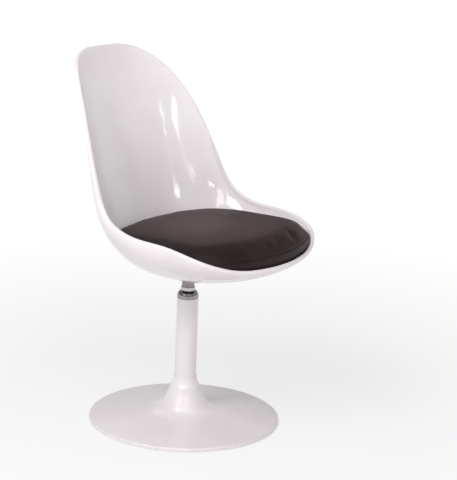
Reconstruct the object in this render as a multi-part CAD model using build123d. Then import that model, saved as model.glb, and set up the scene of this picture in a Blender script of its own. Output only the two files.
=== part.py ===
"""Swivel dining chair: a moulded bucket shell with a loose seat cushion, carried by a steel
spindle that turns in a round column on a weighted trumpet base.

Millimetres. Z is up, the floor is Z = 0, the swivel axis is the Z axis and the sitter faces -Y.
"""

from build123d import *
import math
import os

# ---------------------------------------------------------------- driving sizes: seat shell
PAD_UNDERSIDE = 346.5  # height of the flat pad under the shell
PAD_RADIUS = 60.0
SHELL_WALL = 6.5
RIM_THICKNESS = 10.0  # the wall swells to a rounded bead along the rim
BEAD_SIDES = 6
SHELL_WIDTH = 482.0
BACK_REACH = 259.0  # swivel axis to the top of the back
FRONT_REACH = 259.0  # swivel axis to the front lip
BACK_HEIGHT = 476.5  # top of the back above the pad
LIP_HEIGHT = 57.0  # front lip above the pad

# Half of the rim, from the top of the back round one side to the front lip. Each station has
# its place as shares of the sizes above (x of the half width, y of the reach, z of the rise from
# lip to top), then its meridian: floor run as a share of the way out, wall run as a share of the
# height, and the wall's lean at the rim in degrees above the horizontal.
STATIONS = (
    (0.000, 1.000, 1.000, 0.375, 0.572, 73),
    (0.386, 0.962, 0.983, 0.411, 0.554, 70),
    (0.639, 0.810, 0.902, 0.477, 0.540, 75),
    (0.801, 0.622, 0.757, 0.527, 0.549, 81),
    (0.900, 0.470, 0.583, 0.495, 0.547, 86),
    (0.959, 0.335, 0.399, 0.417, 0.513, 96),
    (0.996, 0.165, 0.221, 0.360, 0.425, 93),
    (1.000, -0.097, 0.154, 0.325, 0.508, 87),
    (0.992, -0.388, 0.137, 0.305, 0.631, 79),
    (0.929, -0.682, 0.089, 0.300, 0.600, 70),
    (0.664, -0.872, 0.027, 0.345, 0.520, 61),
    (0.332, -0.969, 0.005, 0.385, 0.590, 53),
    (0.000, -1.000, 0.000, 0.410, 0.690, 47),
)
# ---------------------------------------------------------------- driving sizes: cushion
CUSHION_CROWN = 112.5  # top of the crown above the pad
CUSHION_GAP = 5.0  # clear of the shell all round
CUSHION_TURN = 95.0  # above the pad, where the side leaves the shell's wall
CUSHION_SHOULDER = 99.0  # above the pad, where the side is at its widest
CUSHION_SWELL = 0.5  # how far the side swells out between those two
WALL_PLACES = (0, 0.35, 0.7)  # where the section's corners lie along its three parts
SIDE_PLACES = (0, 0.33, 0.67)
SHOULDER_PLACES = (0, 0.12, 0.24, 0.36, 0.5, 0.68, 1)
BACK_DOME = 0.40
CROWN_FLAT = 0.45  # the flat of the crown as a share of the widest outline
CROWN_RISE = (0.05, 0.80)  # fullness of the shoulder, upwards and inwards, at back and front
CROWN_RUN = (0.70, 0.35)
LIP_CLEAR = 3.0  # in front, the side leaves the wall this far below the rim
BOARD_THICKNESS = 5.0
BOARD_GAP = 0.5
PAD_TAPE_RADIUS = 27.0
TAPE_THICKNESS = 1.25

# ---------------------------------------------------------------- driving sizes: seat plate
GASKET_THICKNESS = 2.0
PLATE_RADIUS = 56.0
PLATE_THICKNESS = 4.0
HUB_RADIUS = 20.0
HUB_DROP = 12.5
BOLT_CIRCLE_RADIUS = 38.0
BOLT_COUNT = 4
BOLT_RADIUS = 3.0
BOLT_HEAD_RADIUS = 6.0
BOLT_HEAD_DEPTH = 3.3
BOLT_TAIL = 1.0  # thread left showing under the nut
NUT_FLATS = 10.0
NUT_HEIGHT = 5.0
WASHER_RADIUS = 6.0
WASHER_THICKNESS = 1.6

# ---------------------------------------------------------------- driving sizes: column
TUBE_RADIUS = 24.0
TUBE_WALL = 2.0
TUBE_TOP = 285.0
CAP_HEIGHT = 18.0
CAP_SKIRT = 20.0
CAP_SKIRT_WALL = 2.5
CAP_CROWN_WALL = 3.0
BUSH_LIP_WALL = 1.8
BUSH_LIP_HEIGHT = 8.0
BUSH_LENGTH = 38.0
SPINDLE_RADIUS = 14.0
STUB_RADIUS = 10.0
SHOULDER_HEIGHT = 154.0
THRUST_THICKNESS = 3.0
SEAT_RING_THICKNESS = 12.0
LOWER_BUSH_WALL = 2.5
LOWER_BUSH_FLANGE = 2.0
RETAINER_THICKNESS = 2.0
CLIP_THICKNESS = 1.6
CLIP_WIDTH = 3.2
GROOVE_DEPTH = 1.0
STUB_TAIL = 5.0

# ---------------------------------------------------------------- driving sizes: base
BASE_RADIUS = 215.0
NECK_RADIUS = 34.5
NECK_HEIGHT = 81.5
COVER_WALL = 1.5
COVER_CORNER = 2.0
COVER_RIM_HEIGHT = 9.8
COVER_FLOOR_GAP = 2.0
ROLL_RADIUS = 4.2
# The cover's outline from the neck to the rolled rim, as shares of the way out and of the fall,
# and whether an arc or a straight line leads there.
COVER_SHAPE = (
    (0.0193, 0.799, True),
    (0.0925, 0.4405, False),
    (0.1673, 0.2654, True),
    (0.2751, 0.1951, True),
    (1.0, 0.0, False),
)
NECK_RING_HEIGHT = 22.5
NECK_RING_TOP_WALL = 1.6
BALLAST_RADIUS = 197.0
BALLAST_TOP = 8.0
GLIDE_HEIGHT = 3.0
GLIDE_WIDTH = 10.0
GLIDE_INSET = 1.0
HUB_FLANGE_RADIUS = 34.0
HUB_FLANGE_THICKNESS = 8.0
SPIGOT_HEIGHT = 33.0
TIE_RADIUS = 6.0
TIE_HEAD_RADIUS = 12.0
TIE_HEAD_DEPTH = 5.0
TIE_END_DEPTH = 4.0  # the bolt ends this far below the top of the spigot

# ---------------------------------------------------------------- clearances
FIT = 0.05  # radial, seated or running on a bush
LOOSE = 0.3  # radial, a bolt in its hole
RUNNING = 0.3  # axial, between faces that turn on each other

SECTION = (Align.CENTER, Align.CENTER, Align.MIN)


# ---------------------------------------------------------------- small helpers
def disc(radius, low, high):
    return Pos(0, 0, low) * Cylinder(radius, high - low, align=SECTION)


def sleeve(inner, outer, low, high):
    return disc(outer, low, high) - disc(inner, low, high)


def turned(outline):
    """Turns a closed outline of (radius, height) edges about the swivel axis."""
    return revolve(make_face(outline), Axis.Z)


def save(name, shape):
    solids = shape.solids()
    body = solids[0] if len(solids) == 1 else Compound(solids)
    export_step(body, f"parts/{name}.step")
    print(name, len(solids), round(sum(solid.volume for solid in solids)))


# ---------------------------------------------------------------- seat shell
def meridian(station):
    """Control points, as (reach, height), of the curve from the pad out to the rim's bead."""
    x_share, y_share, z_share, floor_share, wall_share, lean = station
    x = x_share * SHELL_WIDTH / 2
    y = y_share * (BACK_REACH if y_share > 0 else FRONT_REACH)
    rise = LIP_HEIGHT + z_share * (BACK_HEIGHT - LIP_HEIGHT)
    reach = math.hypot(x, y)
    angle = math.radians(lean)
    wall = (math.cos(angle), math.sin(angle))
    rim = (reach, PAD_UNDERSIDE + rise)
    floor_end = (PAD_RADIUS + floor_share * (reach - PAD_RADIUS), PAD_UNDERSIDE)
    wall_start = along(rim, wall, -wall_share * rise)
    wall_end = along(rim, wall, -RIM_THICKNESS / 2)
    return [(PAD_RADIUS, PAD_UNDERSIDE), floor_end, wall_start, wall_end]


def along(point, direction, distance):
    return (point[0] + direction[0] * distance, point[1] + direction[1] * distance)


def heading(start, end):
    """Unit direction between two points of a meridian."""
    length = math.dist(start, end)
    return ((end[0] - start[0]) / length, (end[1] - start[1]) / length)


def shifted(curve, gap, end_gap):
    """A curve a gap to the left of another one: each leg between control points is moved."""
    normals = [(-rise, run) for run, rise in map(heading, curve, curve[1:])]
    found = [along(curve[0], normals[0], gap)]
    for point, before, after in zip(curve[1:], normals, normals[1:]):
        both = (before[0] + after[0], before[1] + after[1])
        mitre = 1 + before[0] * after[0] + before[1] * after[1]
        found.append(along(point, both, gap / mitre))
    return [*found, along(curve[-1], normals[-1], end_gap)]


def between(start, end, share):
    return tuple(a + (b - a) * share for a, b in zip(start, end))


def halves(curve, share):
    """The two curves that a curve splits into at a share of its parameter."""
    first, second = [curve[0]], [curve[-1]]
    while len(curve) > 1:
        curve = [between(a, b, share) for a, b in zip(curve, curve[1:])]
        first.append(curve[0])
        second.append(curve[-1])
    return first, second[::-1]


def share_at(curve, height):
    """The parameter at which a rising curve reaches a height, by halving the interval."""
    low, high = 0.0, 1.0
    for _ in range(30):
        middle = (low + high) / 2
        if halves(curve, middle)[0][-1][1] < height:
            low = middle
        else:
            high = middle
    return low


def rows(curves):
    """Half rings: the first control points of every station's curve, then the second ones."""
    found = []
    for places in zip(*curves):
        ring = []
        for (x_share, y_share, *_), (reach, height) in zip(STATIONS, places):
            x = x_share * SHELL_WIDTH / 2
            y = y_share * (BACK_REACH if y_share > 0 else FRONT_REACH)
            ring.append(Vector(x, y, 0).normalized() * reach + Vector(0, 0, height))
        found.append(ring)
    return found


def chord_knots(points):
    """Chord lengths along half a ring, added up."""
    knots = [0.0]
    for start, end in zip(points, points[1:]):
        knots.append(knots[-1] + (end - start).length)
    return knots


def slopes(values, knots, level_ends):
    """Slopes of the cubic spline through the values, with level ends or with straight ones."""
    steps = [b - a for a, b in zip(knots, knots[1:])]
    rises = [(b - a) / step for a, b, step in zip(values, values[1:], steps)]
    found = [0.0] * len(values)
    for _ in range(40):  # the sweeps settle long before this many
        if not level_ends:
            found[0] = (3 * rises[0] - found[1]) / 2
            found[-1] = (3 * rises[-1] - found[-2]) / 2
        for place in range(1, len(values) - 1):
            before, after = steps[place - 1], steps[place]
            pull = (3 * rises[place - 1] - found[place - 1]) / before
            pull += (3 * rises[place] - found[place + 1]) / after
            found[place] = pull / (2 / before + 2 / after)
    return found


def ring_arcs(points, knots):
    """Control points for each span of the smooth line through half a ring.

    Left and right are odd about the plane of symmetry and the rest is even, so the mirror image
    carries the line on without a kink.
    """
    across = slopes([point.X for point in points], knots, False)
    ahead = slopes([point.Y for point in points], knots, True)
    up = slopes([point.Z for point in points], knots, True)
    speeds = [Vector(*parts) for parts in zip(across, ahead, up)]
    arcs = []
    for place, (start, end) in enumerate(zip(points, points[1:])):
        third = (knots[place + 1] - knots[place]) / 3
        handle, tail = speeds[place] * third, speeds[place + 1] * third
        arcs.append([start, start + handle, end - tail, end])
    return arcs


def strip(curves, knots):
    """Faces between the stations' curves all the way round, each with its mirror image."""
    arcs = [ring_arcs(row, knots) for row in rows(curves)]
    faces = [Face.make_bezier_surface(list(patch)) for patch in zip(*arcs)]
    return [*faces, *[face.mirror(Plane.YZ) for face in faces]]


def level_face(points, knots):
    """Flat face inside a level half ring and its mirror image."""
    edges = [Edge.make_bezier(*arc) for arc in ring_arcs(points, knots)]
    return Face(Wire([*edges, *[edge.mirror(Plane.YZ) for edge in edges]]))


def bands(profiles, knots):
    """Narrow faces, straight across, between the corners of every station's profile."""
    faces = []
    for step in range(len(profiles[0]) - 1):
        faces += strip([profile[step : step + 2] for profile in profiles], knots)
    return faces


def bead(outer, inner):
    """Corners of the half round from the end of the outer curve to the end of the inner one."""
    up_wall = heading(outer[-2], outer[-1])
    across = heading(outer[-1], inner[-1])
    radius = math.dist(outer[-1], inner[-1]) / 2
    middle = between(outer[-1], inner[-1], 0.5)
    corners = []
    for step in range(BEAD_SIDES + 1):
        turn = math.pi * step / BEAD_SIDES
        corner = along(middle, across, -radius * math.cos(turn))
        corners.append(along(corner, up_wall, radius * math.sin(turn)))
    return corners


def seat_shell(outer):
    inner = [shifted(curve, SHELL_WALL, RIM_THICKNESS) for curve in outer]
    knots = chord_knots(rows(outer)[-1])
    edge = bands([bead(*pair) for pair in zip(outer, inner)], knots)
    walls = [*strip(outer, knots), *edge, *strip(inner, knots)]
    pads = [level_face(rows(curves)[0], knots) for curves in (outer, inner)]
    shell = Solid(Shell([*walls, *pads]))
    floor = PAD_UNDERSIDE + SHELL_WALL
    for place in PolarLocations(BOLT_CIRCLE_RADIUS, BOLT_COUNT, 45):
        hole = disc(BOLT_RADIUS + LOOSE, PAD_UNDERSIDE - 1, floor + 1)
        shell -= place * (hole + bolt_head(floor, LOOSE))
    return shell


def bolt_head(top, gap):
    """Countersunk cone whose flat face lies at the given height."""
    wide = BOLT_HEAD_RADIUS + gap
    narrow = BOLT_RADIUS + gap
    return Pos(0, 0, top - BOLT_HEAD_DEPTH) * Cone(narrow, wide, BOLT_HEAD_DEPTH, align=SECTION)


# ---------------------------------------------------------------- cushion and its board
def cushion_board(outer):
    low = PAD_UNDERSIDE + SHELL_WALL + 2 * TAPE_THICKNESS
    inner = [shifted(curve, SHELL_WALL + BOARD_GAP, RIM_THICKNESS) for curve in outer]
    edge = [halves(curve, share_at(curve, low))[1] for curve in inner]
    outline = rows(edge)[0]
    return extrude(level_face(outline, chord_knots(outline)), BOARD_THICKNESS, dir=(0, 0, 1))


def cushion_profile(curve, front):
    """Corners of the cushion's section: along the shell's wall, up its side, over to the crown."""
    low = PAD_UNDERSIDE + SHELL_WALL + 2 * TAPE_THICKNESS + BOARD_THICKNESS
    turn = min(PAD_UNDERSIDE + CUSHION_TURN, curve[-1][1] - LIP_CLEAR)
    wall = halves(curve, share_at(curve, turn))[0]
    wall = halves(wall, share_at(wall, low))[1]
    start = wall[-1]
    widest = (start[0] + CUSHION_SWELL, PAD_UNDERSIDE + CUSHION_SHOULDER)
    third = (widest[1] - start[1]) / 3
    handle = along(start, heading(wall[-2], start), third)
    side = [start, handle, (widest[0], widest[1] - third), widest]
    crown = (widest[0] * CROWN_FLAT, PAD_UNDERSIDE + CUSHION_CROWN)
    rise, run = (back + (full - back) * front for back, full in (CROWN_RISE, CROWN_RUN))
    lean = between(widest, crown, (1 - front) * BACK_DOME)[0]
    full = (lean, between(widest, crown, rise)[1])
    over = (between(widest, crown, run)[0], crown[1])
    shoulder = [widest, full, over, crown]
    places = ((wall, WALL_PLACES), (side, SIDE_PLACES), (shoulder, SHOULDER_PLACES))
    return [halves(part, place)[0][-1] for part, shares in places for place in shares]


def seat_cushion(outer):
    gap = SHELL_WALL + CUSHION_GAP
    fronts = [(1 - station[1]) / 2 for station in STATIONS]
    walls = [shifted(curve, gap, gap) for curve in outer]
    profiles = [cushion_profile(*pair) for pair in zip(walls, fronts)]
    rings = rows(profiles)
    knots = chord_knots(rings[len(WALL_PLACES) + len(SIDE_PLACES) - 1])
    ends = [level_face(ring, knots) for ring in (rings[0], rings[-1])]
    return Solid(Shell([*bands(profiles, knots), *ends]))


def tape(low):
    return disc(PAD_TAPE_RADIUS, low, low + TAPE_THICKNESS)


# ---------------------------------------------------------------- seat plate and its bolts
PLATE_TOP = PAD_UNDERSIDE - GASKET_THICKNESS
PLATE_LOW = PLATE_TOP - PLATE_THICKNESS
HUB_LOW = PLATE_LOW - HUB_DROP


def bolt_holes(low, high):
    hole = disc(BOLT_RADIUS + LOOSE, low, high)
    return [place * hole for place in PolarLocations(BOLT_CIRCLE_RADIUS, BOLT_COUNT, 45)]


def plate_gasket():
    sheet = sleeve(SPINDLE_RADIUS + LOOSE, PLATE_RADIUS, PLATE_TOP, PAD_UNDERSIDE)
    return sheet - bolt_holes(PLATE_TOP - 1, PAD_UNDERSIDE + 1)


def seat_plate():
    """Pressed disc with the spindle's socket welded under it."""
    bore = SPINDLE_RADIUS + FIT
    plate = sleeve(bore, PLATE_RADIUS, PLATE_LOW, PLATE_TOP)
    plate = fillet(plate.edges().filter_by(GeomType.CIRCLE).sort_by(SortBy.RADIUS)[-2:], 1.2)
    plate -= bolt_holes(PLATE_LOW - 1, PLATE_TOP + 1)
    hub = sleeve(bore, HUB_RADIUS, HUB_LOW, PLATE_LOW)
    rim = hub.edges().group_by(Axis.Z)[0].sort_by(SortBy.RADIUS)[-1]
    return plate + chamfer(rim, 2)


def plate_bolt():
    top = PAD_UNDERSIDE + SHELL_WALL
    low = PLATE_LOW - WASHER_THICKNESS - NUT_HEIGHT - BOLT_TAIL
    return disc(BOLT_RADIUS, low, top - BOLT_HEAD_DEPTH) + bolt_head(top, 0)


def plate_washer():
    return sleeve(BOLT_RADIUS + LOOSE, WASHER_RADIUS, PLATE_LOW - WASHER_THICKNESS, PLATE_LOW)


def lock_nut():
    top = PLATE_LOW - WASHER_THICKNESS
    hexagon = RegularPolygon(NUT_FLATS / 2, 6, major_radius=False)
    body = extrude(Pos(0, 0, top - NUT_HEIGHT) * hexagon, NUT_HEIGHT)
    return body - disc(BOLT_RADIUS + FIT, top - NUT_HEIGHT, top)


def at_bolts(shape):
    return Compound([place * shape for place in PolarLocations(BOLT_CIRCLE_RADIUS, BOLT_COUNT, 45)])


# ---------------------------------------------------------------- spindle and its bearings
TUBE_BORE = TUBE_RADIUS - TUBE_WALL
THRUST_LOW = SHOULDER_HEIGHT - THRUST_THICKNESS
RING_LOW = THRUST_LOW - SEAT_RING_THICKNESS
FLANGE_LOW = RING_LOW - LOWER_BUSH_FLANGE
RETAINER_LOW = FLANGE_LOW - RUNNING - RETAINER_THICKNESS
CLIP_LOW = RETAINER_LOW - CLIP_THICKNESS
STUB_LOW = CLIP_LOW - STUB_TAIL
BUSH_BORE = SPINDLE_RADIUS + FIT


def spindle():
    body = disc(SPINDLE_RADIUS, SHOULDER_HEIGHT, PLATE_TOP)
    body = chamfer(body.edges().group_by(Axis.Z)[0], 1)
    stub = disc(STUB_RADIUS, STUB_LOW, SHOULDER_HEIGHT)
    stub = chamfer(stub.edges().group_by(Axis.Z)[0], 1)
    groove = sleeve(STUB_RADIUS - GROOVE_DEPTH, STUB_RADIUS + 1, CLIP_LOW, RETAINER_LOW)
    return body + stub - groove


def thrust_washer():
    outer = TUBE_BORE - LOOSE
    return sleeve(STUB_RADIUS + FIT, outer, THRUST_LOW, SHOULDER_HEIGHT)


def bearing_seat():
    """Ring welded in the tube, which carries the sitter's weight."""
    bore = STUB_RADIUS + FIT + LOWER_BUSH_WALL + FIT
    return sleeve(bore, TUBE_BORE - FIT, RING_LOW, THRUST_LOW)


def lower_bush():
    outer = STUB_RADIUS + FIT + LOWER_BUSH_WALL
    body = sleeve(STUB_RADIUS + FIT, outer, RING_LOW, THRUST_LOW)
    return body + sleeve(STUB_RADIUS + FIT, outer + 3.5, FLANGE_LOW, RING_LOW)


def retaining_washer():
    outer = STUB_RADIUS + FIT + LOWER_BUSH_WALL + 4
    return sleeve(STUB_RADIUS + FIT, outer, RETAINER_LOW, FLANGE_LOW - RUNNING)


def retaining_clip():
    inner = STUB_RADIUS - GROOVE_DEPTH + FIT
    ring = sleeve(inner, inner + CLIP_WIDTH, CLIP_LOW, RETAINER_LOW)
    gap = Box(2 * inner, inner, CLIP_THICKNESS * 3)
    return ring - Pos(0, -inner * 1.15, RETAINER_LOW) * gap


def upper_bush():
    top = TUBE_TOP + CAP_HEIGHT
    ledge = top - CAP_CROWN_WALL
    body_outer = TUBE_BORE - FIT - CAP_SKIRT_WALL - FIT
    lip_outer = BUSH_BORE + BUSH_LIP_WALL
    body = sleeve(BUSH_BORE, body_outer, top - BUSH_LENGTH, ledge)
    lip = sleeve(BUSH_BORE, lip_outer, ledge, top + BUSH_LIP_HEIGHT)
    lip = chamfer(lip.edges().group_by(Axis.Z)[-1].sort_by(SortBy.RADIUS)[-1], 0.8)
    return body + lip


def column_cap():
    """Chromed ferrule that plugs the tube and holds the upper bush."""
    top = TUBE_TOP + CAP_HEIGHT
    hole = BUSH_BORE + BUSH_LIP_WALL + FIT
    skirt = TUBE_BORE - FIT
    bore = skirt - CAP_SKIRT_WALL
    brim = hole + 1.0
    bulge = (TUBE_RADIUS - 0.16 * (TUBE_RADIUS - brim), 0, TUBE_TOP + 0.62 * CAP_HEIGHT)
    shoulder = ThreePointArc((TUBE_RADIUS, 0, TUBE_TOP + 1.5), bulge, (brim, 0, top))
    rest = Polyline(
        (brim, 0, top),
        (hole, 0, top),
        (hole, 0, top - CAP_CROWN_WALL),
        (bore, 0, top - CAP_CROWN_WALL),
        (bore, 0, TUBE_TOP - CAP_SKIRT),
        (skirt, 0, TUBE_TOP - CAP_SKIRT),
        (skirt, 0, TUBE_TOP),
        (TUBE_RADIUS, 0, TUBE_TOP),
        (TUBE_RADIUS, 0, TUBE_TOP + 1.5),
    )
    return turned([*shoulder.edges(), *rest.edges()])


# ---------------------------------------------------------------- column and base
BALLAST_LOW = GLIDE_HEIGHT
FLANGE_TOP = BALLAST_TOP + HUB_FLANGE_THICKNESS
SPIGOT_TOP = FLANGE_TOP + SPIGOT_HEIGHT


def column_tube():
    return sleeve(TUBE_BORE, TUBE_RADIUS, FLANGE_TOP, TUBE_TOP)


def neck_ring():
    """Flared trim ring that covers the joint between the column and the base cover."""
    bore = TUBE_RADIUS + FIT
    top = NECK_HEIGHT + NECK_RING_HEIGHT
    top_outer = bore + NECK_RING_TOP_WALL
    low_outer = NECK_RADIUS - 1.0
    flare = TangentArc((top_outer, 0, top), (low_outer, 0, NECK_HEIGHT), tangent=(0, 0, -1))
    rest = Polyline(
        (top_outer, 0, top),
        (bore, 0, top),
        (bore, 0, NECK_HEIGHT),
        (low_outer, 0, NECK_HEIGHT),
    )
    return turned([*flare.edges(), *rest.edges()])


def upright(radius, height):
    return Vector(radius, 0, height)


def cover_outline():
    """Outer outline of the base cover: neck corner, trumpet, rolled rim and lip."""
    top = NECK_HEIGHT - COVER_CORNER
    place = upright(NECK_RADIUS, top)
    start = upright(NECK_RADIUS - COVER_CORNER, NECK_HEIGHT)
    edges = [TangentArc(start, place, tangent=(1, 0, 0)).edge()]
    run = BASE_RADIUS - ROLL_RADIUS - NECK_RADIUS
    for out, up, bends in COVER_SHAPE:
        target = upright(NECK_RADIUS + out * run, COVER_RIM_HEIGHT + up * (top - COVER_RIM_HEIGHT))
        if bends:
            edges.append(TangentArc(place, target, tangent=edges[-1] % 1).edge())
        else:
            edges.append(Line(place, target).edge())
        place = target
    turn = math.radians(45)
    side = COVER_RIM_HEIGHT - ROLL_RADIUS
    knuckle = (place.X + ROLL_RADIUS * math.sin(turn), side + ROLL_RADIUS * math.cos(turn))
    edges.append(ThreePointArc(place, upright(*knuckle), upright(BASE_RADIUS, side)).edge())
    edges.append(Line(upright(BASE_RADIUS, side), upright(BASE_RADIUS, COVER_FLOOR_GAP)).edge())
    return edges


def inward(edge, place):
    return (edge % place).cross(Vector(0, -1, 0)).normalized()


def moved_in(edges, wall):
    """The same run of lines and arcs, moved in by the wall's thickness."""
    normals = [inward(edges[0], 0)]
    for before, after in zip(edges, edges[1:]):
        normals.append((inward(before, 1) + inward(after, 0)).normalized())
    normals.append(inward(edges[-1], 1))
    found = []
    for edge, first, last in zip(edges, normals, normals[1:]):
        start, end = (edge @ 0) + first * wall, (edge @ 1) + last * wall
        if edge.geom_type == GeomType.LINE:
            found.append(Line(start, end).edge())
        else:
            middle = (edge @ 0.5) + inward(edge, 0.5) * wall
            found.append(ThreePointArc(start, middle, end).edge())
    return found


def base_cover():
    """Spun sheet between the outline and the same outline moved in, open down the middle."""
    outside = cover_outline()
    inside = moved_in(outside[1:], COVER_WALL)
    neck_bore = TUBE_RADIUS + LOOSE
    under = NECK_HEIGHT - COVER_WALL
    joint = inside[0] @ 0
    neck = Polyline(
        outside[0] @ 0,
        upright(neck_bore, NECK_HEIGHT),
        upright(neck_bore, under),
        upright(joint.X, under),
        joint,
    )
    lip = Line(outside[-1] @ 1, inside[-1] @ 1)
    return turned([*outside, *neck.edges(), *inside, lip.edge()])


def base_plate():
    """Steel ballast disc that the column is bolted to."""
    plate = disc(BALLAST_RADIUS, BALLAST_LOW, BALLAST_TOP)
    plate = chamfer(plate.edges().filter_by(GeomType.CIRCLE), 1)
    return plate - tie_shape(LOOSE)


def tie_shape(gap):
    top = SPIGOT_TOP - TIE_END_DEPTH
    head = Cone(TIE_HEAD_RADIUS + gap, TIE_RADIUS + gap, TIE_HEAD_DEPTH, align=SECTION)
    return Pos(0, 0, BALLAST_LOW) * head + disc(TIE_RADIUS + gap, BALLAST_LOW, top)


def base_hub():
    """Flange and spigot that centre the tube and take the tie bolt."""
    flange = disc(HUB_FLANGE_RADIUS, BALLAST_TOP, FLANGE_TOP)
    spigot = disc(TUBE_BORE - FIT, FLANGE_TOP, SPIGOT_TOP)
    spigot = chamfer(spigot.edges().group_by(Axis.Z)[-1], 1.5)
    return flange + spigot - disc(TIE_RADIUS + FIT, BALLAST_TOP - 1, SPIGOT_TOP + 1)


def floor_glide():
    outer = BALLAST_RADIUS - GLIDE_INSET
    ring = sleeve(outer - GLIDE_WIDTH, outer, 0, GLIDE_HEIGHT)
    return chamfer(ring.edges().group_by(Axis.Z)[0], 0.6)


# ---------------------------------------------------------------- the chair
def main():
    os.makedirs("parts", exist_ok=True)
    outer = [meridian(station) for station in STATIONS]
    floor = PAD_UNDERSIDE + SHELL_WALL
    save("seat_shell", seat_shell(outer))
    save("seat_cushion", seat_cushion(outer))
    save("cushion_board", cushion_board(outer))
    save("hook_tape", tape(floor))
    save("loop_tape", tape(floor + TAPE_THICKNESS))
    save("plate_gasket", plate_gasket())
    save("seat_plate", seat_plate())
    save("plate_bolts", at_bolts(plate_bolt()))
    save("plate_washers", at_bolts(plate_washer()))
    save("lock_nuts", at_bolts(lock_nut()))
    save("spindle", spindle())
    save("retaining_washer", retaining_washer())
    save("retaining_clip", retaining_clip())
    save("thrust_washer", thrust_washer())
    save("bearing_seat", bearing_seat())
    save("lower_bush", lower_bush())
    save("upper_bush", upper_bush())
    save("column_cap", column_cap())
    save("column_tube", column_tube())
    save("neck_ring", neck_ring())
    save("base_cover", base_cover())
    save("base_plate", base_plate())
    save("base_hub", base_hub())
    save("tie_bolt", tie_shape(0))
    save("floor_glide", floor_glide())


main()
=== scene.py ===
# %% [markdown]
# # A swivel dining chair in white plastic, white lacquer and dark leather
#
# The chair is one moulded seat shell on a steel pedestal, with a loose leather cushion in it. Its
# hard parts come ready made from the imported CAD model, and this lesson gives them their finishes,
# sews a real cushion over the plain CAD one, and sets up the camera, floor and lights. Everything
# is in metres, Z is up, the floor is at Z = 0 and the sitter faces -Y.

# %% Load the fixed frame
import math

import bpy
from mathutils import Matrix, Vector, kdtree, noise
from mathutils.bvhtree import BVHTree


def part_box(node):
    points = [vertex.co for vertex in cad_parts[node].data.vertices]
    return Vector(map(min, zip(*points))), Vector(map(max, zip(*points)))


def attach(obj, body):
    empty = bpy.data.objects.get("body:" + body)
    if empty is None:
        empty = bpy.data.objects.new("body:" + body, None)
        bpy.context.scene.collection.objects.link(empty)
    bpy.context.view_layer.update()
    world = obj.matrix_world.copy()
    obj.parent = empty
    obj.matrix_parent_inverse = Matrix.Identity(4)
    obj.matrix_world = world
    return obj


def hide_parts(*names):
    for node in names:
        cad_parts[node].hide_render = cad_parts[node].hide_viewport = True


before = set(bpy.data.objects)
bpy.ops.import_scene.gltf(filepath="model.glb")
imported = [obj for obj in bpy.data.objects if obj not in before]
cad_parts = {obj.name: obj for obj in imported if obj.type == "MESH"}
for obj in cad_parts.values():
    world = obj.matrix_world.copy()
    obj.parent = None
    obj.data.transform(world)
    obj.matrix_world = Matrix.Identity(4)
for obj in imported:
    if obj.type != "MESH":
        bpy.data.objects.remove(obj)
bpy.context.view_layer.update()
scene = bpy.context.scene

# %% [markdown]
# ## The camera
#
# The photograph was taken from the sitter's right, a little above the seat, with a long lens about
# three and a half metres away. Three angles say where the camera looks: the yaw turns it in plan,
# the pitch tips it down, and the roll tilts the picture slightly. A camera can be aimed with a
# Track To constraint, but a matrix of its own three axes holds the roll as well, so that is used.

# %% Camera
CAMERA_PLACE = Vector((-2.7792, -1.9173, 1.2490))
CAMERA_YAW = math.radians(56.855)
CAMERA_PITCH = math.radians(13.794)
CAMERA_ROLL = math.radians(2.215)
SENSOR_MM = 36.0
LENS_MM = 117.914
FAR_CLIP = 200


def camera_axes():
    """The camera's right, up and look directions."""
    level = Vector((math.cos(CAMERA_YAW), -math.sin(CAMERA_YAW), 0))
    plan = Vector((math.sin(CAMERA_YAW), math.cos(CAMERA_YAW), 0))
    look = plan * math.cos(CAMERA_PITCH) - Vector((0, 0, math.sin(CAMERA_PITCH)))
    upright = level.cross(look)
    right = level * math.cos(CAMERA_ROLL) + upright * math.sin(CAMERA_ROLL)
    up = upright * math.cos(CAMERA_ROLL) - level * math.sin(CAMERA_ROLL)
    return right, up, look


def placed(right, up, back, place):
    """A matrix whose columns are three axes and a place."""
    turn = Matrix((right, up, back)).transposed().to_4x4()
    return Matrix.Translation(place) @ turn


camera_data = bpy.data.cameras.new("photo_camera")
camera_data.sensor_width = SENSOR_MM
camera_data.lens = LENS_MM
camera_data.clip_end = FAR_CLIP
camera = bpy.data.objects.new("photo_camera", camera_data)
scene.collection.objects.link(camera)
right, up, look = camera_axes()
camera.matrix_world = placed(right, up, -look, CAMERA_PLACE)
scene.camera = camera
print("camera looks along", [round(x, 3) for x in look])

# %% [markdown]
# ## Colours and nodes
#
# Colours are picked on screen as sRGB hex values, but a shader works in linear light, so one
# function turns the one into the other. Every material is a small tree of nodes. One function adds
# a node, sets its menus, and fills its sockets with values or with what other nodes give out.

# %% Helpers for all materials
def linear(hex_value):
    """Linear RGBA of an sRGB hex colour such as "F2EFF0"."""
    found = []
    for place in (0, 2, 4):
        share = int(hex_value[place : place + 2], 16) / 255
        low = share <= 0.04045
        found.append(share / 12.92 if low else ((share + 0.055) / 1.055) ** 2.4)
    return (*found, 1.0)


def in_use(sockets, name=None):
    """The first socket in use, or the first in use that has that name."""
    return next(item for item in sockets if item.enabled and name in (None, item.name))


def add_node(tree, kind, inputs=None, **settings):
    """Adds a node with its settings; an input is a value, a socket, or a node that feeds it."""
    node = tree.nodes.new(kind)
    for name, value in settings.items():
        setattr(node, name, value)
    for name, value in (inputs or {}).items():
        socket = node.inputs[name] if isinstance(name, int) else in_use(node.inputs, name)
        if isinstance(value, bpy.types.Node):
            value = in_use(value.outputs)
        if isinstance(value, bpy.types.NodeSocket):
            tree.links.new(value, socket)
        else:
            socket.default_value = value
    return node


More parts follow.
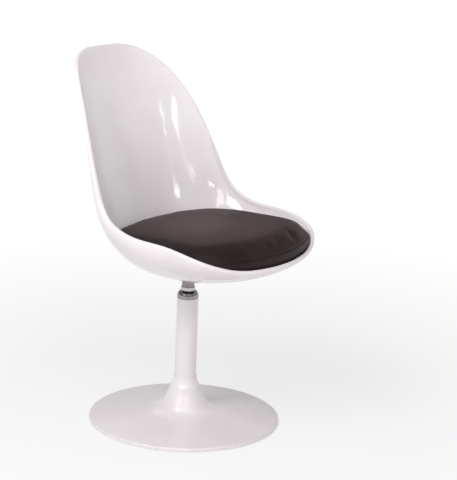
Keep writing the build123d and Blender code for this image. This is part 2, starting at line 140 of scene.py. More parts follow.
def new_material(name):
    """An empty material, its tree, and the place on the object in metres."""
    material = bpy.data.materials.new(name)
    material.use_nodes = True
    tree = material.node_tree
    tree.nodes.clear()
    return material, tree, add_node(tree, "ShaderNodeTexCoord").outputs["Object"]


def per_metre(size_mm):
    """Scale of a noise or cell pattern whose features are that many millimetres across."""
    return 1000 / size_mm


def made(material):
    """Prints what a finished material is built from, and gives it back."""
    print(material.name, "from", len(material.node_tree.nodes), "nodes")
    return material


print("white in linear light", linear("FFFFFF")[:3])

# %% [markdown]
# ## Moulded white ABS
#
# The shell is one moulding in white ABS with a polished mould face. What the eye sees is a clean
# gloss over a very slight waviness, as moulded walls always have, and a faint hairline rubbing
# where people slide in and out, which only shows in the gloss. ABS has an IOR of about 1.54. The
# white leans a little to mauve. Two broad noises give the tone and the waviness.

# %% Material: moulded ABS
ABS_IOR = 1.54


def moulded_abs():
    """Clean gloss over slight waves, dulled here and there by rubbing."""
    material, tree, place = new_material("moulded_white_abs")
    mottle = {"Vector": place, "Scale": per_metre(140), "Detail": 2}
    mottle = add_node(tree, "ShaderNodeTexNoise", mottle)
    tone = {"Value": mottle, "From Min": 0.35, "From Max": 0.65}
    tone = add_node(tree, "ShaderNodeMapRange", tone)
    colour = {"Factor": tone, "A": linear("DCD5D8"), "B": linear("E1DBDD")}
    colour = add_node(tree, "ShaderNodeMix", colour, data_type="RGBA")
    drawn_out = {"Vector": place, "Scale": (1, 1, 0.15)}
    drawn_out = add_node(tree, "ShaderNodeMapping", drawn_out)
    rubbing = {"Vector": drawn_out, "Scale": per_metre(3), "Detail": 4, "Roughness": 0.7}
    rubbing = add_node(tree, "ShaderNodeTexNoise", rubbing)
    gloss = {"Value": rubbing, "From Min": 0.45, "From Max": 0.75, "To Min": 0.07, "To Max": 0.13}
    gloss = add_node(tree, "ShaderNodeMapRange", gloss)
    waves = {"Vector": place, "Scale": per_metre(60), "Detail": 1}
    waves = add_node(tree, "ShaderNodeTexNoise", waves)
    waves = {"Height": waves, "Distance": 0.0001, "Strength": 0.25}
    waves = add_node(tree, "ShaderNodeBump", waves)
    grain = {"Vector": place, "Scale": per_metre(5), "Detail": 1}
    grain = add_node(tree, "ShaderNodeTexNoise", grain)
    grain = {"Height": grain, "Distance": 0.000004, "Strength": 0.25, "Normal": waves}
    grain = add_node(tree, "ShaderNodeBump", grain)
    surface = {"Base Color": colour, "Roughness": gloss, "IOR": ABS_IOR, "Normal": grain}
    surface = add_node(tree, "ShaderNodeBsdfPrincipled", surface)
    add_node(tree, "ShaderNodeOutputMaterial", {"Surface": surface})
    return material


shell_plastic = made(moulded_abs())

# %% [markdown]
# ## White lacquer on steel
#
# Base and column are steel, sprayed white and stoved. Sprayed lacquer dries with a fine orange
# peel, about four millimetres from crest to crest. The base's outer edge, where shoes and brooms
# meet it, is dulled and slightly greyed by wear: a noise, held to the edge by the distance from
# the axis, so the same material is clean on the column.

# %% Material: stoved white lacquer
WEAR_FROM, WEAR_TO = 0.203, 0.2145
PEEL_MM, PEEL_DEPTH = 4, 0.000008


def stoved_lacquer():
    """Satin white with a fine orange peel, worn along the base's outer edge."""
    material, tree, place = new_material("stoved_white_lacquer")
    mottle = {"Vector": place, "Scale": per_metre(90), "Detail": 2}
    mottle = add_node(tree, "ShaderNodeTexNoise", mottle)
    tone = {"Value": mottle, "From Min": 0.35, "From Max": 0.65}
    tone = add_node(tree, "ShaderNodeMapRange", tone)
    clean = {"Factor": tone, "A": linear("DED8DB"), "B": linear("E3DDE0")}
    clean = add_node(tree, "ShaderNodeMix", clean, data_type="RGBA")
    level = add_node(tree, "ShaderNodeVectorMath", {0: place, 1: (1, 1, 0)}, operation="MULTIPLY")
    radius = add_node(tree, "ShaderNodeVectorMath", {0: level}, operation="LENGTH")
    edge = {"Value": radius, "From Min": WEAR_FROM, "From Max": WEAR_TO}
    edge = add_node(tree, "ShaderNodeMapRange", edge)
    rubbed = {"Vector": place, "Scale": per_metre(12), "Detail": 4, "Roughness": 0.7}
    rubbed = add_node(tree, "ShaderNodeTexNoise", rubbed)
    rubbed = {"Value": rubbed, "From Min": 0.42, "From Max": 0.62, "To Max": 0.7}
    rubbed = add_node(tree, "ShaderNodeMapRange", rubbed)
    wear = add_node(tree, "ShaderNodeMath", {0: edge, 1: rubbed}, operation="MULTIPLY")
    colour = {"Factor": wear, "A": clean, "B": linear("D2CCCE")}
    colour = add_node(tree, "ShaderNodeMix", colour, data_type="RGBA")
    gloss = {"Value": wear, "To Min": 0.28, "To Max": 0.4}
    gloss = add_node(tree, "ShaderNodeMapRange", gloss)
    peel = {"Vector": place, "Scale": per_metre(PEEL_MM), "Detail": 1}
    peel = add_node(tree, "ShaderNodeTexNoise", peel)
    peel = {"Height": peel, "Distance": PEEL_DEPTH, "Strength": 0.3}
    peel = add_node(tree, "ShaderNodeBump", peel)
    surface = {"Base Color": colour, "Roughness": gloss, "Normal": peel}
    surface = add_node(tree, "ShaderNodeBsdfPrincipled", surface)
    add_node(tree, "ShaderNodeOutputMaterial", {"Surface": surface})
    return material


lacquer = made(stoved_lacquer())

# %% [markdown]
# ## Metals
#
# Chrome plate is a mirror that hides its base metal; it only shows fine polishing lines, and it
# looks darker than it is, because it mirrors the dim part of the room. Zinc plate is duller and
# cloudy. Turned steel shows rings round its axis, drawn here by squeezing noise along Z, so its
# features become thin level bands. They differ in colour, gloss and the size of the bands, so one
# function with those values makes them all. Real polishing lines and turned rings are a few
# hundredths of a millimetre wide, too fine for the picture, so they are drawn as bands of one to
# four millimetres.

# %% Materials: chrome, zinc plate and turned steel
def plated_metal(name, dark, light, gloss_range, band_mm, squeeze):
    """A bare or plated metal, cloudy in tone and banded in gloss."""
    material, tree, place = new_material(name)
    clouds = {"Vector": place, "Scale": per_metre(8), "Detail": 3}
    clouds = add_node(tree, "ShaderNodeTexNoise", clouds)
    tone = {"Value": clouds, "From Min": 0.3, "From Max": 0.7}
    tone = add_node(tree, "ShaderNodeMapRange", tone)
    colour = {"Factor": tone, "A": linear(dark), "B": linear(light)}
    colour = add_node(tree, "ShaderNodeMix", colour, data_type="RGBA")
    squeezed = {"Vector": place, "Scale": (1, 1, squeeze)}
    squeezed = add_node(tree, "ShaderNodeMapping", squeezed)
    bands = {"Vector": squeezed, "Scale": per_metre(band_mm), "Detail": 4}
    bands = add_node(tree, "ShaderNodeTexNoise", bands)
    gloss = {"Value": bands, "From Min": 0.3, "From Max": 0.7}
    gloss.update({"To Min": gloss_range[0], "To Max": gloss_range[1]})
    gloss = add_node(tree, "ShaderNodeMapRange", gloss)
    lines = {"Height": bands, "Distance": 0.00001, "Strength": 0.4}
    lines = add_node(tree, "ShaderNodeBump", lines)
    surface = {"Base Color": colour, "Metallic": 1.0, "Roughness": gloss, "Normal": lines}
    surface = add_node(tree, "ShaderNodeBsdfPrincipled", surface)
    add_node(tree, "ShaderNodeOutputMaterial", {"Surface": surface})
    return material


hard_chrome = made(plated_metal("hard_chrome", "7C7779", "938E91", (0.08, 0.16), 2.5, 6))
bright_chrome = made(plated_metal("polished_chrome", "8C8689", "A39DA0", (0.05, 0.1), 4.0, 1))
turned = made(plated_metal("turned_steel", "8E8E8C", "A9A8A5", (0.28, 0.42), 1.2, 4))
zinc = made(plated_metal("bright_zinc_plate", "A3A39E", "C2C2BC", (0.25, 0.4), 2.0, 1))

# %% [markdown]
# ## Rubber, acetal, polyethylene, nylon and primer
#
# The hidden parts have plain finishes: matt black rubber sheet, natural acetal with its waxy
# sheen, black polyethylene scratched by the floor, woven nylon tape and brushed black primer.
# They differ in colour, in gloss and in the size and depth of their texture, so one function with
# those values makes them all. Nylon threads and powder grains are well under a millimetre, so
# their texture is drawn at one and a half to two millimetres.

# %% Material: plain finishes
def plain_finish(name, dark, light, size_mm, depth_mm, gloss_range):
    """One noise that sets the tone, the gloss and the relief together."""
    material, tree, place = new_material(name)
    pattern = {"Vector": place, "Scale": per_metre(size_mm), "Detail": 4, "Roughness": 0.65}
    pattern = add_node(tree, "ShaderNodeTexNoise", pattern)
    tone = {"Value": pattern, "From Min": 0.35, "From Max": 0.65}
    tone = add_node(tree, "ShaderNodeMapRange", tone)
    colour = {"Factor": tone, "A": linear(dark), "B": linear(light)}
    colour = add_node(tree, "ShaderNodeMix", colour, data_type="RGBA")
    gloss = {"Value": pattern, "From Min": 0.3, "From Max": 0.7}
    gloss.update({"To Min": gloss_range[0], "To Max": gloss_range[1]})
    gloss = add_node(tree, "ShaderNodeMapRange", gloss)
    relief = {"Height": pattern, "Distance": depth_mm / 1000, "Strength": 0.8}
    relief = add_node(tree, "ShaderNodeBump", relief)
    surface = {"Base Color": colour, "Roughness": gloss, "Normal": relief}
    surface = add_node(tree, "ShaderNodeBsdfPrincipled", surface)
    add_node(tree, "ShaderNodeOutputMaterial", {"Surface": surface})
    return material


acetal = made(plain_finish("natural_acetal", "D9D6CF", "E4E1DB", 6, 0.02, (0.35, 0.45)))
nylon = made(plain_finish("woven_nylon_tape", "16161A", "26262B", 1.5, 0.4, (0.75, 0.95)))
rubber = made(plain_finish("black_rubber_sheet", "141414", "1E1E1E", 2.5, 0.05, (0.7, 0.85)))
coated = made(plain_finish("black_powder_coat", "18181A", "232326", 1.8, 0.06, (0.42, 0.55)))
primer = made(plain_finish("black_primer", "1B1B1B", "2A2928", 9, 0.05, (0.5, 0.7)))
glide = made(plain_finish("black_polyethylene", "121214", "222226", 3, 0.08, (0.5, 0.65)))

# %% [markdown]
# ## Birch plywood
#
# The board under the cushion is thin birch plywood. Its face grain is noise drawn out along Y,
# with streaks about two millimetres wide.

# %% Material: birch plywood
def birch_plywood():
    """Pale wood whose streaks run front to back."""
    material, tree, place = new_material("birch_plywood")
    drawn_out = add_node(tree, "ShaderNodeMapping", {"Vector": place, "Scale": (1, 0.06, 1)})
    grain = {"Vector": drawn_out, "Scale": per_metre(2), "Detail": 5, "Roughness": 0.6}
    grain = add_node(tree, "ShaderNodeTexNoise", grain)
    tone = add_node(tree, "ShaderNodeMapRange", {"Value": grain, "From Min": 0.3, "From Max": 0.7})
    colour = {"Factor": tone, "A": linear("C9A97C"), "B": linear("E0C9A0")}
    colour = add_node(tree, "ShaderNodeMix", colour, data_type="RGBA")
    gloss = add_node(tree, "ShaderNodeMapRange", {"Value": grain, "To Min": 0.45, "To Max": 0.7})
    relief = {"Height": grain, "Distance": 0.00005, "Strength": 0.6}
    relief = add_node(tree, "ShaderNodeBump", relief)
    surface = {"Base Color": colour, "Roughness": gloss, "Normal": relief}
    surface = add_node(tree, "ShaderNodeBsdfPrincipled", surface)
    add_node(tree, "ShaderNodeOutputMaterial", {"Surface": surface})
    return material


plywood = made(birch_plywood())

# %% [markdown]
# ## Finishes on the CAD parts
#
# Each CAD node keeps its own mesh and only changes its material, so this is one table.

# %% Give each CAD node its finish
finishes = {
    "seat_shell": shell_plastic,
    "cushion_board": plywood,
    "hook_tape": nylon,
    "loop_tape": nylon,
    "plate_gasket": rubber,
    "seat_plate": coated,
    "plate_bolts": zinc,
    "plate_washers": zinc,
    "lock_nuts": zinc,
    "tie_bolt": zinc,
    "spindle": hard_chrome,
    "column_cap": bright_chrome,
    "retaining_washer": turned,
    "retaining_clip": turned,
    "bearing_seat": turned,
    "base_hub": turned,
    "thrust_washer": acetal,
    "lower_bush": acetal,
    "upper_bush": acetal,
    "column_tube": lacquer,
    "neck_ring": lacquer,
    "base_cover": lacquer,
    "base_plate": primer,
    "floor_glide": glide,
}
for name, material in finishes.items():
    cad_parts[name].material_slots[0].material = material
print("finishes on", len(finishes), "CAD nodes")

# %% [markdown]
# ## Leather
#
# The cushion is covered in dark brown upholstery leather, dyed through and finished with a thin
# sprayed coat. Its grain is a net of small pebbles about a millimetre across. One millimetre is
# less than half a pixel here, so the pebbles are drawn two and a half times as coarse. The tone
# wanders gently. In the middle of the top, where people sit, the leather is paler and more
# polished: partly wear, and partly a painted pool of light that makes the top lighter than its
# sides. The distance from that place drives both.

# %% Material: upholstery leather and its thread
PEBBLE_MM = 2.5
# Middle and reach of the paler zone on the top: wear, and a painted pool of light.
LIT_SITTING_PLACE = (0.0, -0.05, 0.45)
LIT_SITTING_REACH = 0.185
LEATHER_GLOSS = 0.15
LEATHER_SHEEN = 0.12


def upholstery_leather():
    """Dark brown pebbled leather, smoother where people sit, and paler there from wear and a
    painted pool of light.
    """
    material, tree, place = new_material("upholstery_leather")
    wander = {"Vector": place, "Scale": per_metre(70), "Detail": 3}
    wander = add_node(tree, "ShaderNodeTexNoise", wander)
    wander = {"Value": wander, "From Min": 0.35, "From Max": 0.65}
    wander = add_node(tree, "ShaderNodeMapRange", wander)
    fresh = {"Factor": wander, "A": linear("1F1617"), "B": linear("271D1E")}
    fresh = add_node(tree, "ShaderNodeMix", fresh, data_type="RGBA")
    # Paler towards the middle of the top: wear, and a painted pool of light.
    away = {0: place, 1: LIT_SITTING_PLACE}
    away = add_node(tree, "ShaderNodeVectorMath", away, operation="DISTANCE")
    wear_and_lit_pool = {"Value": away, "From Min": LIT_SITTING_REACH, "From Max": 0.04, "To Max": 0.8}
    wear_and_lit_pool = add_node(tree, "ShaderNodeMapRange", wear_and_lit_pool)
    dyed_worn_and_lit = {"Factor": wear_and_lit_pool, "A": fresh, "B": linear("3F2C2F")}
    dyed_worn_and_lit = add_node(tree, "ShaderNodeMix", dyed_worn_and_lit, data_type="RGBA")
    cells = {"Vector": place, "Scale": per_metre(PEBBLE_MM)}
    cells = add_node(tree, "ShaderNodeTexVoronoi", cells, feature="SMOOTH_F1")
    # The valleys between the pebbles are painted darker: painted shade.
    painted_valley_shade = {"Value": cells, "From Min": 0.45, "From Max": 0.8, "To Max": 0.4}
    painted_valley_shade = add_node(tree, "ShaderNodeMapRange", painted_valley_shade)
    colour = {"Factor": painted_valley_shade, "A": dyed_worn_and_lit, "B": linear("1A1314")}
    colour = add_node(tree, "ShaderNodeMix", colour, data_type="RGBA")
    gloss = add_node(tree, "ShaderNodeMapRange", {"Value": wear_and_lit_pool, "To Min": 0.52, "To Max": 0.44})
    soft = {"Vector": place, "Scale": per_metre(25), "Detail": 2}
    soft = add_node(tree, "ShaderNodeTexNoise", soft)
    soft = add_node(tree, "ShaderNodeBump", {"Height": soft, "Distance": 0.0003, "Strength": 0.3})
    pebbles = {"Height": cells, "Distance": 0.00012, "Strength": 0.3, "Normal": soft}
    pebbles = add_node(tree, "ShaderNodeBump", pebbles, invert=True)
    surface = {"Base Color": colour, "Roughness": gloss, "Normal": pebbles}
    surface.update({"Specular IOR Level": LEATHER_GLOSS, "Sheen Weight": LEATHER_SHEEN})
    surface.update({"Sheen Roughness": 0.4, "Sheen Tint": linear("C79C9E")})
    surface = add_node(tree, "ShaderNodeBsdfPrincipled", surface)
    add_node(tree, "ShaderNodeOutputMaterial", {"Surface": surface})
    return material


leather = made(upholstery_leather())
thread = made(plain_finish("bonded_nylon_thread", "1D1617", "2C2223", 1.0, 0.1, (0.45, 0.6)))

# %% [markdown]
# ## The cushion, first step: foam that pushes the cover out
#
# The real cushion is a cut block of foam inside a sewn leather cover that is slightly too small,
# so the foam presses the leather tight and round. The same is done here: a slightly lower copy of
# the CAD cushion becomes cloth with a little pressure inside, and it is blown up for a few frames.
# No point may move further than a cap, so the pad stays in its place in the shell. Sculpting by
# hand could give the same roundness, but it couldn't be repeated after a change of size.

# %% The foam block, cut from the CAD cushion
VOXEL = 0.004
SHRINK, EASE = 0.002, 0.003


def mesh_object(name, mesh):
    """A new object in the scene that shows the mesh."""
    piece = bpy.data.objects.new(name, mesh)
    scene.collection.objects.link(piece)
    return piece


def applied(piece):
    """The piece's mesh with its modifiers applied."""
    bpy.context.view_layer.update()
    depsgraph = bpy.context.evaluated_depsgraph_get()
    return bpy.data.meshes.new_from_object(piece.evaluated_get(depsgraph))


def foam_block():
    """A remeshed copy of the CAD cushion, a little lower and a little wider."""
    block = mesh_object("foam_block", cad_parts["seat_cushion"].data.copy())
    low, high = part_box("seat_cushion")
    middle = (low + high) / 2
    for vertex in block.data.vertices:
        for axis in range(3):
            half = (high[axis] - low[axis]) / 2
            share = 1 + (EASE, EASE, -SHRINK)[axis] / half
            vertex.co[axis] = middle[axis] + (vertex.co[axis] - middle[axis]) * share
    remesh = block.modifiers.new("voxels", "REMESH")
    remesh.mode = "VOXEL"
    remesh.voxel_size = VOXEL
    block.data = applied(block)
    block.modifiers.clear()
    return block


block = foam_block()
print("foam block", len(block.data.polygons), "faces")

# %% Blow the block up against its cover
PRESSURE = 4.0
SWELL_FRAMES = 20
SWELL_CAP = 0.005
CLOTH_STEPS = 6


def blown_up(block):
    """Runs the cloth with pressure and caps how far each point moved."""
    rest = [vertex.co.copy() for vertex in block.data.vertices]
    cloth = block.modifiers.new("cover", "CLOTH")
    cloth.settings.use_pressure = True
    cloth.settings.uniform_pressure_force = PRESSURE
    cloth.settings.effector_weights.gravity = 0
    cloth.settings.quality = CLOTH_STEPS
    cloth.point_cache.frame_end = SWELL_FRAMES
    for step in range(1, SWELL_FRAMES + 1):
        scene.frame_set(step)
    swollen = applied(block)
    block.modifiers.clear()
    scene.frame_set(1)
    moved = 0.0
    for vertex, start in zip(swollen.vertices, rest):
        way = vertex.co - start
        if way.length > SWELL_CAP:
            vertex.co = start + way * (SWELL_CAP / way.length)
        moved = max(moved, (vertex.co - start).length)
    block.data = swollen
    return moved


print("cloth moved up to", round(blown_up(block) * 1000, 1), "mm")

# %% Smooth away the steps of the voxels
SMOOTH_TIMES, SMOOTH_SHARE = 8, 0.3

smooth = block.modifiers.new("smooth", "LAPLACIANSMOOTH")
smooth.iterations = SMOOTH_TIMES
smooth.lambda_factor = SMOOTH_SHARE
block.data = applied(block)
block.modifiers.clear()
print("smoothed", SMOOTH_TIMES, "times")

# %% [markdown]
# ## The cushion, second step: a skin with a row of points on the seam
#
# The cover is a top panel and a side panel, sewn together round the shoulder. A voxel mesh can't
# hold so fine a line, so a new skin is stretched over the blown-up block: rays go out from the
# middle in many directions, and the rows of rays lie close together on both sides of the seam.
# A Shrinkwrap modifier could lay a ready grid on the block, but it wouldn't keep one row of points
# on the seam.

# %% Where the seam runs
SEAM_HEIGHT = 0.4435
COLUMNS = 512
HEART = Vector((0, -0.062, 0.418))


def tree_of(piece):
    """A search tree over the piece's faces, for rays and for nearest points."""
    points = [vertex.co for vertex in piece.data.vertices]
    return BVHTree.FromPolygons(points, [list(face.vertices) for face in piece.data.polygons])


def seam_curve(tree):
    """The seam's points, one for each column, all at the seam's height."""
    start = Vector((HEART.x, HEART.y, SEAM_HEIGHT))
    points = []
    for column in range(COLUMNS):
        turn = 2 * math.pi * column / COLUMNS
        found = tree.ray_cast(start, Vector((math.cos(turn), math.sin(turn), 0)))[0]
        points.append(found)
    return points


block_tree = tree_of(block)
seam = seam_curve(block_tree)
print("columns of points round the seam", len(seam))

# %% Rows of points, crowded at the seam
ROWS_BELOW, ROWS_ABOVE = 56, 72
ROW_CROWDING = 1.9
SEAM_ROW = ROWS_BELOW - 1


def row_shares():
    """From -1 at the bottom through 0 at the seam to 1 at the top, crowded at the seam."""
    below = [-((1 - row / ROWS_BELOW) ** ROW_CROWDING) for row in range(1, ROWS_BELOW)]
    above = [(row / ROWS_ABOVE) ** ROW_CROWDING for row in range(ROWS_ABOVE)]
    return below + above


def skin_points(tree, seam, shares):
    """Rows of points on the block, one row for each share."""
    rows = [[] for _ in shares]
    for point in seam:
        way = point - HEART
        flat = math.hypot(way.x, way.y)
        lift = math.atan2(way.z, flat)
        for row, share in zip(rows, shares):
            angle = lift + share * ((math.pi / 2 - lift) if share > 0 else (math.pi / 2 + lift))
            out = math.cos(angle) / flat
            ray = Vector((way.x * out, way.y * out, math.sin(angle)))
            row.append(tree.ray_cast(HEART, ray)[0])
    return rows


rows = skin_points(block_tree, seam, row_shares())
print("rows of points", len(rows), "and the seam is row", SEAM_ROW)

# %% The skin as one closed mesh
def skin_mesh(rows, bottom, top):
    """A closed quad mesh over the rows, with a fan at each end."""
    points = [bottom, *[point for row in rows for point in row], top]
    faces = []
    for column in range(COLUMNS):
        after = (column + 1) % COLUMNS
        faces.append((0, 1 + after, 1 + column))
        for row in range(len(rows) - 1):
            low = 1 + row * COLUMNS
            high = low + COLUMNS
            faces.append((low + column, low + after, high + after, high + column))
        last = 1 + (len(rows) - 1) * COLUMNS
        faces.append((last + column, last + after, len(points) - 1))
    mesh = bpy.data.meshes.new("cushion_cover")
    mesh.from_pydata(points, [], faces)
    mesh.update()
    return mesh


bottom = block_tree.ray_cast(HEART, Vector((0, 0, -1)))[0]
top = block_tree.ray_cast(HEART, Vector((0, 0, 1)))[0]
cover = mesh_object("cushion_cover", skin_mesh(rows, bottom, top))
bpy.data.objects.remove(block)
print("cover", len(cover.data.polygons), "faces")

# %% [markdown]
# ## The cushion, third step: the front edge rolls down
#
# Leather pulls the foam's edge round, most at the front, where the knees bend over it. So the
# cover sinks near its outline, fading to nothing a few centimetres in, down the side, and towards
# the back, where the cushion lies against the shell. A lattice could bend it too, but a formula
# keeps the fade even all the way round.

# %% Round the front edge
ROUNDING, ROUNDING_REACH, SIDE_REACH = 0.014, 0.046, 0.03
ROUNDING_FROM, ROUNDING_TO = 0.06, -0.04
ROUNDING_POWER = 1.3


def rounded(mesh, seam):
    """Lowers the mesh near its outline, by how near it lies and how far to the front."""
    outline = kdtree.KDTree(len(seam))
    for index, point in enumerate(seam):
        outline.insert((point.x, point.y, 0), index)
    outline.balance()
    for vertex in mesh.vertices:
        away = outline.find((vertex.co.x, vertex.co.y, 0))[2]
        below = max(0, SEAM_HEIGHT - vertex.co.z)
        front = (ROUNDING_FROM - vertex.co.y) / (ROUNDING_FROM - ROUNDING_TO)
        share = max(0, 1 - away / ROUNDING_REACH) ** ROUNDING_POWER
        share *= max(0, 1 - below / SIDE_REACH)
        vertex.co.z -= ROUNDING * share * min(1, max(0, front))
    mesh.update()


rounded(cover.data, seam)
first_on_seam = 1 + SEAM_ROW * COLUMNS
seam = [cover.data.vertices[first_on_seam + column].co.copy() for column in range(COLUMNS)]
print("lowest seam point", round(min(point.z for point in seam), 4), "m")

# %% [markdown]
# ## The cushion, fourth step: seam, puckers and slack
#
# The rows near the seam sink into a groove, both panels roll into it, and short puckers run out
# from it, as they do where a curved edge is eased into a straight one. Away from it the leather is
# a little slack. All of it is under two millimetres, so each point is moved along its normal.

# %% Sew the seam
GROOVE_DEPTH, GROOVE_WIDTH = 0.0013, 0.0016
ROLL_HEIGHT, ROLL_PLACE, ROLL_WIDTH = 0.0006, 0.0065, 0.0045
PUCKER_DEPTH, PUCKER_REACH, PUCKER_STEP = 0.0006, 0.012, 0.03
CREASE_DEPTH, CREASE_SIZE = 0.0006, 0.12


def arc_lengths(seam):
    """How far round the seam each of its points lies."""
    found, total = [], 0.0
    for before, point in zip([seam[-1], *seam], seam):
        total += (point - before).length
        found.append(total)
    return found


def seam_relief(distance, round_seam):
    """Height of the cover above its smooth shape, by the distance from the seam."""
    groove = -GROOVE_DEPTH * math.exp(-((distance / GROOVE_WIDTH) ** 2))
    roll = ROLL_HEIGHT * math.exp(-(((distance - ROLL_PLACE) / ROLL_WIDTH) ** 2))
    ripple = noise.noise(Vector((round_seam / PUCKER_STEP, 0, 0.5)))
    fade = math.exp(-distance / PUCKER_REACH) * min(1, distance / GROOVE_WIDTH)
    return groove + roll + PUCKER_DEPTH * ripple * fade


def shaped(mesh, seam):
    """Moves each point along its normal for the seam's relief and the leather's slack."""
    lengths = arc_lengths(seam)
    normals = [vertex.normal.copy() for vertex in mesh.vertices]
    for index, vertex in enumerate(mesh.vertices):
        lift = noise.noise(vertex.co / CREASE_SIZE) * CREASE_DEPTH
        if 0 < index < len(mesh.vertices) - 1:
            column = (index - 1) % COLUMNS
            distance = (vertex.co - seam[column]).length
            lift += seam_relief(distance, lengths[column])
        vertex.co += normals[index] * lift


shaped(cover.data, seam)
print("seam length", round(arc_lengths(seam)[-1], 3), "m")

# %% [markdown]
# ## The cushion, fifth step: room in the shell
#
# The cushion lies in the bucket and never cuts into it. A ray from the cushion's middle to each
# point shows where the wall begins, and a point past it is drawn back along that ray. Then each
# point that is still nearer than a small gap is moved straight away from the wall.

# %% Keep the cover clear of the shell
SHELL_GAP = 0.0012
SEARCH_REACH = 0.01


def kept_clear(mesh, others, gap):
    """Moves points that are within the gap of the others, or past their surface."""
    moved = 0
    for vertex in mesh.vertices:
        way = vertex.co - HEART
        wall = min(other.ray_cast(HEART, way)[3] or math.inf for other in others)
        if way.length > wall - gap:
            vertex.co = HEART + way * ((wall - gap) / way.length)
            moved += 1
        for other in others:
            place, normal, _, distance = other.find_nearest(vertex.co, SEARCH_REACH)
            if place is None:
                continue
            side = (vertex.co - place).dot(normal)
            if side < 0 or distance < gap:
                vertex.co = place + normal * gap
                moved += 1
    return moved


neighbours = [tree_of(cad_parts[name]) for name in ("seat_shell", "cushion_board")]
print("moves away from the shell", kept_clear(cover.data, neighbours, SHELL_GAP))

# %% Hand the cover to the seat
cover.data.update()
cover.data.shade_smooth()
cover.data.materials.append(leather)
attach(cover, "seat")
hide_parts("seat_cushion")
print("cover rides on the seat and stands for the CAD cushion")

# %% [markdown]
# ## Stitches
#
# A line of top stitching holds the seam allowance flat, a few millimetres above the seam. Each
# stitch is a short bead of thread, thick in the middle and sunk into the leather at its ends.
# There are some three hundred. An Array modifier along a curve could repeat one, but it would
# stretch the last stitch or leave a gap, so one small mesh in code places each of them.

# %% The line that the stitches follow
STITCH_OFFSET = 0.0055


def stitch_line(skin, points, seam):
    """Points on the cover a stitch offset above the seam, with their normals."""
    line = []
    for column in range(COLUMNS):
        for row in range(SEAM_ROW + 1, len(rows)):
            point = points[1 + row * COLUMNS + column].co
            if (point - seam[column]).length >= STITCH_OFFSET:
                break
        place, normal, _, _ = skin.find_nearest(point)
        line.append((place, normal))
    return line


line = stitch_line(tree_of(cover), cover.data.vertices, seam)
print("stitch line", len(line), "points")

# %% One stitch
STITCH_LENGTH = 0.0036
STITCH_RADIUS = 0.00045
STITCH_SIDES = 6
# Each ring's place along the stitch, its thickness and its height, in lengths and radii.
STITCH_RINGS = (
    (-0.5, 0.15, -0.6),
    (-0.3, 0.85, 0.1),
    (0, 1, 0.45),
    (0.3, 0.85, 0.1),
    (0.5, 0.15, -0.6),
)


def stitch_points(place, ahead, out):
    """Rings of points along the seam, each round its own middle."""
    across = ahead.cross(out).normalized()
    points = []
    for along, thick, lift in STITCH_RINGS:
        centre = place + ahead * along * STITCH_LENGTH + out * lift * STITCH_RADIUS
        for side in range(STITCH_SIDES):
            turn = 2 * math.pi * side / STITCH_SIDES
            spoke = across * math.cos(turn) + out * math.sin(turn)
            points.append(centre + spoke * STITCH_RADIUS * thick)
    return points


def stitch_faces(start):
    """The faces between the rings and over both ends; start is the first point's number."""
    faces = []
    for ring in range(len(STITCH_RINGS) - 1):
        for side in range(STITCH_SIDES):
            low = start + ring * STITCH_SIDES
            after = (side + 1) % STITCH_SIDES
            high = low + STITCH_SIDES
            faces.append((low + side, low + after, high + after, high + side))
    last = start + (len(STITCH_RINGS) - 1) * STITCH_SIDES
    faces.append([start + side for side in reversed(range(STITCH_SIDES))])
    faces.append([last + side for side in range(STITCH_SIDES)])
    return faces


print("one stitch", len(stitch_faces(0)), "faces")

# %% Top stitching
STITCH_PITCH = 0.0048


def stitches(line):
    """One mesh with a stitch at each pitch along the line."""
    points, faces = [], []
    lengths = arc_lengths([place for place, _ in line])
    due = STITCH_PITCH
    for index in range(len(line) - 1):
        (here, out), (there, _) = line[index], line[index + 1]
        while lengths[index] <= due < lengths[index + 1]:
            share = (due - lengths[index]) / (lengths[index + 1] - lengths[index])
            faces += stitch_faces(len(points))
            points += stitch_points(here.lerp(there, share), (there - here).normalized(), out)
            due += STITCH_PITCH
    mesh = bpy.data.meshes.new("top_stitching")
    mesh.from_pydata(points, [], faces)
    mesh.update()
    return mesh


stitching = mesh_object("top_stitching", stitches(line))
stitching.data.shade_smooth()
stitching.data.materials.append(thread)
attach(stitching, "seat")
print("stitches", len(stitching.data.vertices) // (len(STITCH_RINGS) * STITCH_SIDES))

# %% [markdown]
# ## Floor and light
#
# The chair stands on a light table, a sheet of frosted acrylic lit from below. Most of its
# brightness is its own glow, so the floor is plain white and the chair's shadow is faint. The glow
# grows with the distance from the chair, where less lamp light falls. The main light is a big
# softbox high on the sitter's right, so the far side of the bucket is bright and the near side
# falls into shade, a weaker one stands beside the camera and a third, behind the chair, models its
# back, which the camera doesn't see. Two small lamps in front of the chair add almost no light,
# but the glossy back draws each of them out into a bright streak. The room is white at the level
# of the horizon, so that the floor has no edge there, and dimmer above.

# %% Floor
GLOW_NEAR, GLOW_FAR = 0.66, 1.0
GLOW_FROM, GLOW_TO = 0.5, 3.0
FLOOR_HALF = 40.0


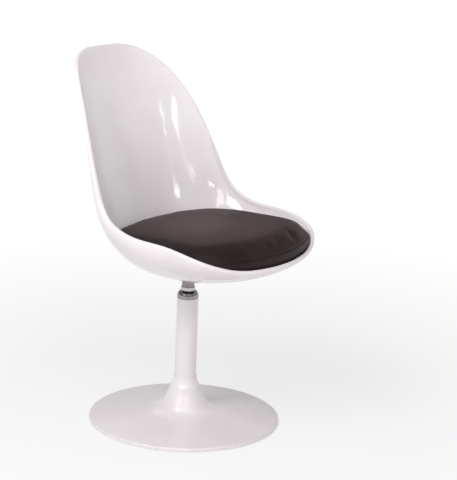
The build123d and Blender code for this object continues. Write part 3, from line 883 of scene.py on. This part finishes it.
def light_table():
    """Frosted white that glows more the further it lies from the chair."""
    material, tree, place = new_material("frosted_white_acrylic")
    blotches = {"Vector": place, "Scale": per_metre(900), "Detail": 1}
    blotches = add_node(tree, "ShaderNodeTexNoise", blotches)
    colour = {"Factor": blotches, "A": linear("878686"), "B": linear("8C8B8B")}
    colour = add_node(tree, "ShaderNodeMix", colour, data_type="RGBA")
    away = add_node(tree, "ShaderNodeVectorMath", {0: place}, operation="LENGTH")
    glow = {"Value": away, "From Min": GLOW_FROM, "From Max": GLOW_TO}
    glow.update({"To Min": GLOW_NEAR, "To Max": GLOW_FAR})
    glow = add_node(tree, "ShaderNodeMapRange", glow)
    surface = {"Base Color": colour, "Roughness": 0.8}
    surface.update({"Emission Color": linear("FFFFFF"), "Emission Strength": glow})
    surface = add_node(tree, "ShaderNodeBsdfPrincipled", surface)
    add_node(tree, "ShaderNodeOutputMaterial", {"Surface": surface})
    return material


floor_mesh = bpy.data.meshes.new("light_table_floor")
corners = [(x * FLOOR_HALF, y * FLOOR_HALF, 0) for x, y in ((-1, -1), (1, -1), (1, 1), (-1, 1))]
floor_mesh.from_pydata(corners, [], [(0, 1, 2, 3)])
floor = mesh_object("light_table_floor", floor_mesh)
floor.data.materials.append(light_table())

# %% Lights
SEAT_MIDDLE = Vector((0, 0, 0.45))
WALL_STRENGTH, ROOM_STRENGTH = 1.06, 0.32
WALL_TOP, ROOM_FROM = 0.08, 0.25
UPPER_STREAK = Vector((0.158, 0.155, 0.624))
LOWER_STREAK = Vector((0.13, 0.128, 0.49))


def softbox(name, place, aim, width, height, watts, roll=0.0):
    """A rectangular light that looks at a point, turned about its own axis by the roll."""
    data = bpy.data.lights.new(name, "AREA")
    data.shape = "RECTANGLE"
    data.size, data.size_y = width, height
    data.energy = watts
    light = bpy.data.objects.new(name, data)
    scene.collection.objects.link(light)
    facing = (aim - Vector(place)).to_track_quat("-Z", "Y").to_matrix().to_4x4()
    light.matrix_world = Matrix.Translation(place) @ facing @ Matrix.Rotation(roll, 4, "Z")
    light.visible_camera = False


softbox("side_softbox", (-2.3, 0.1, 2.4), SEAT_MIDDLE, 1.4, 1.4, 52)
softbox("front_softbox", (-1.6, -1.6, 2.4), SEAT_MIDDLE, 1.4, 1.4, 27)
softbox("overhead_softbox", (0, 0, 3.3), SEAT_MIDDLE, 1.8, 1.8, 9)
softbox("rear_softbox", (1.4, 2.2, 2.0), SEAT_MIDDLE, 1.2, 1.2, 5)
softbox("upper_streak_lamp", (-0.06, -1.1, 0.953), UPPER_STREAK, 0.256, 0.051, 0.45, -0.194)
softbox("lower_streak_lamp", (0.449, -1.5, 1.096), LOWER_STREAK, 0.072, 0.221, 0.5, 1.159)

world = bpy.data.worlds.new("studio")
world.use_nodes = True
world.node_tree.nodes.clear()
way = add_node(world.node_tree, "ShaderNodeTexCoord").outputs["Generated"]
height = add_node(world.node_tree, "ShaderNodeSeparateXYZ", {"Vector": way}).outputs["Z"]
fade = {"Value": height, "From Min": WALL_TOP, "From Max": ROOM_FROM}
fade.update({"To Min": WALL_STRENGTH, "To Max": ROOM_STRENGTH})
fade = add_node(world.node_tree, "ShaderNodeMapRange", fade)
sky = {"Color": linear("FBFAFA"), "Strength": fade}
sky = add_node(world.node_tree, "ShaderNodeBackground", sky)
add_node(world.node_tree, "ShaderNodeOutputWorld", {"Surface": sky})
scene.world = world
scene.view_settings.view_transform = "Standard"
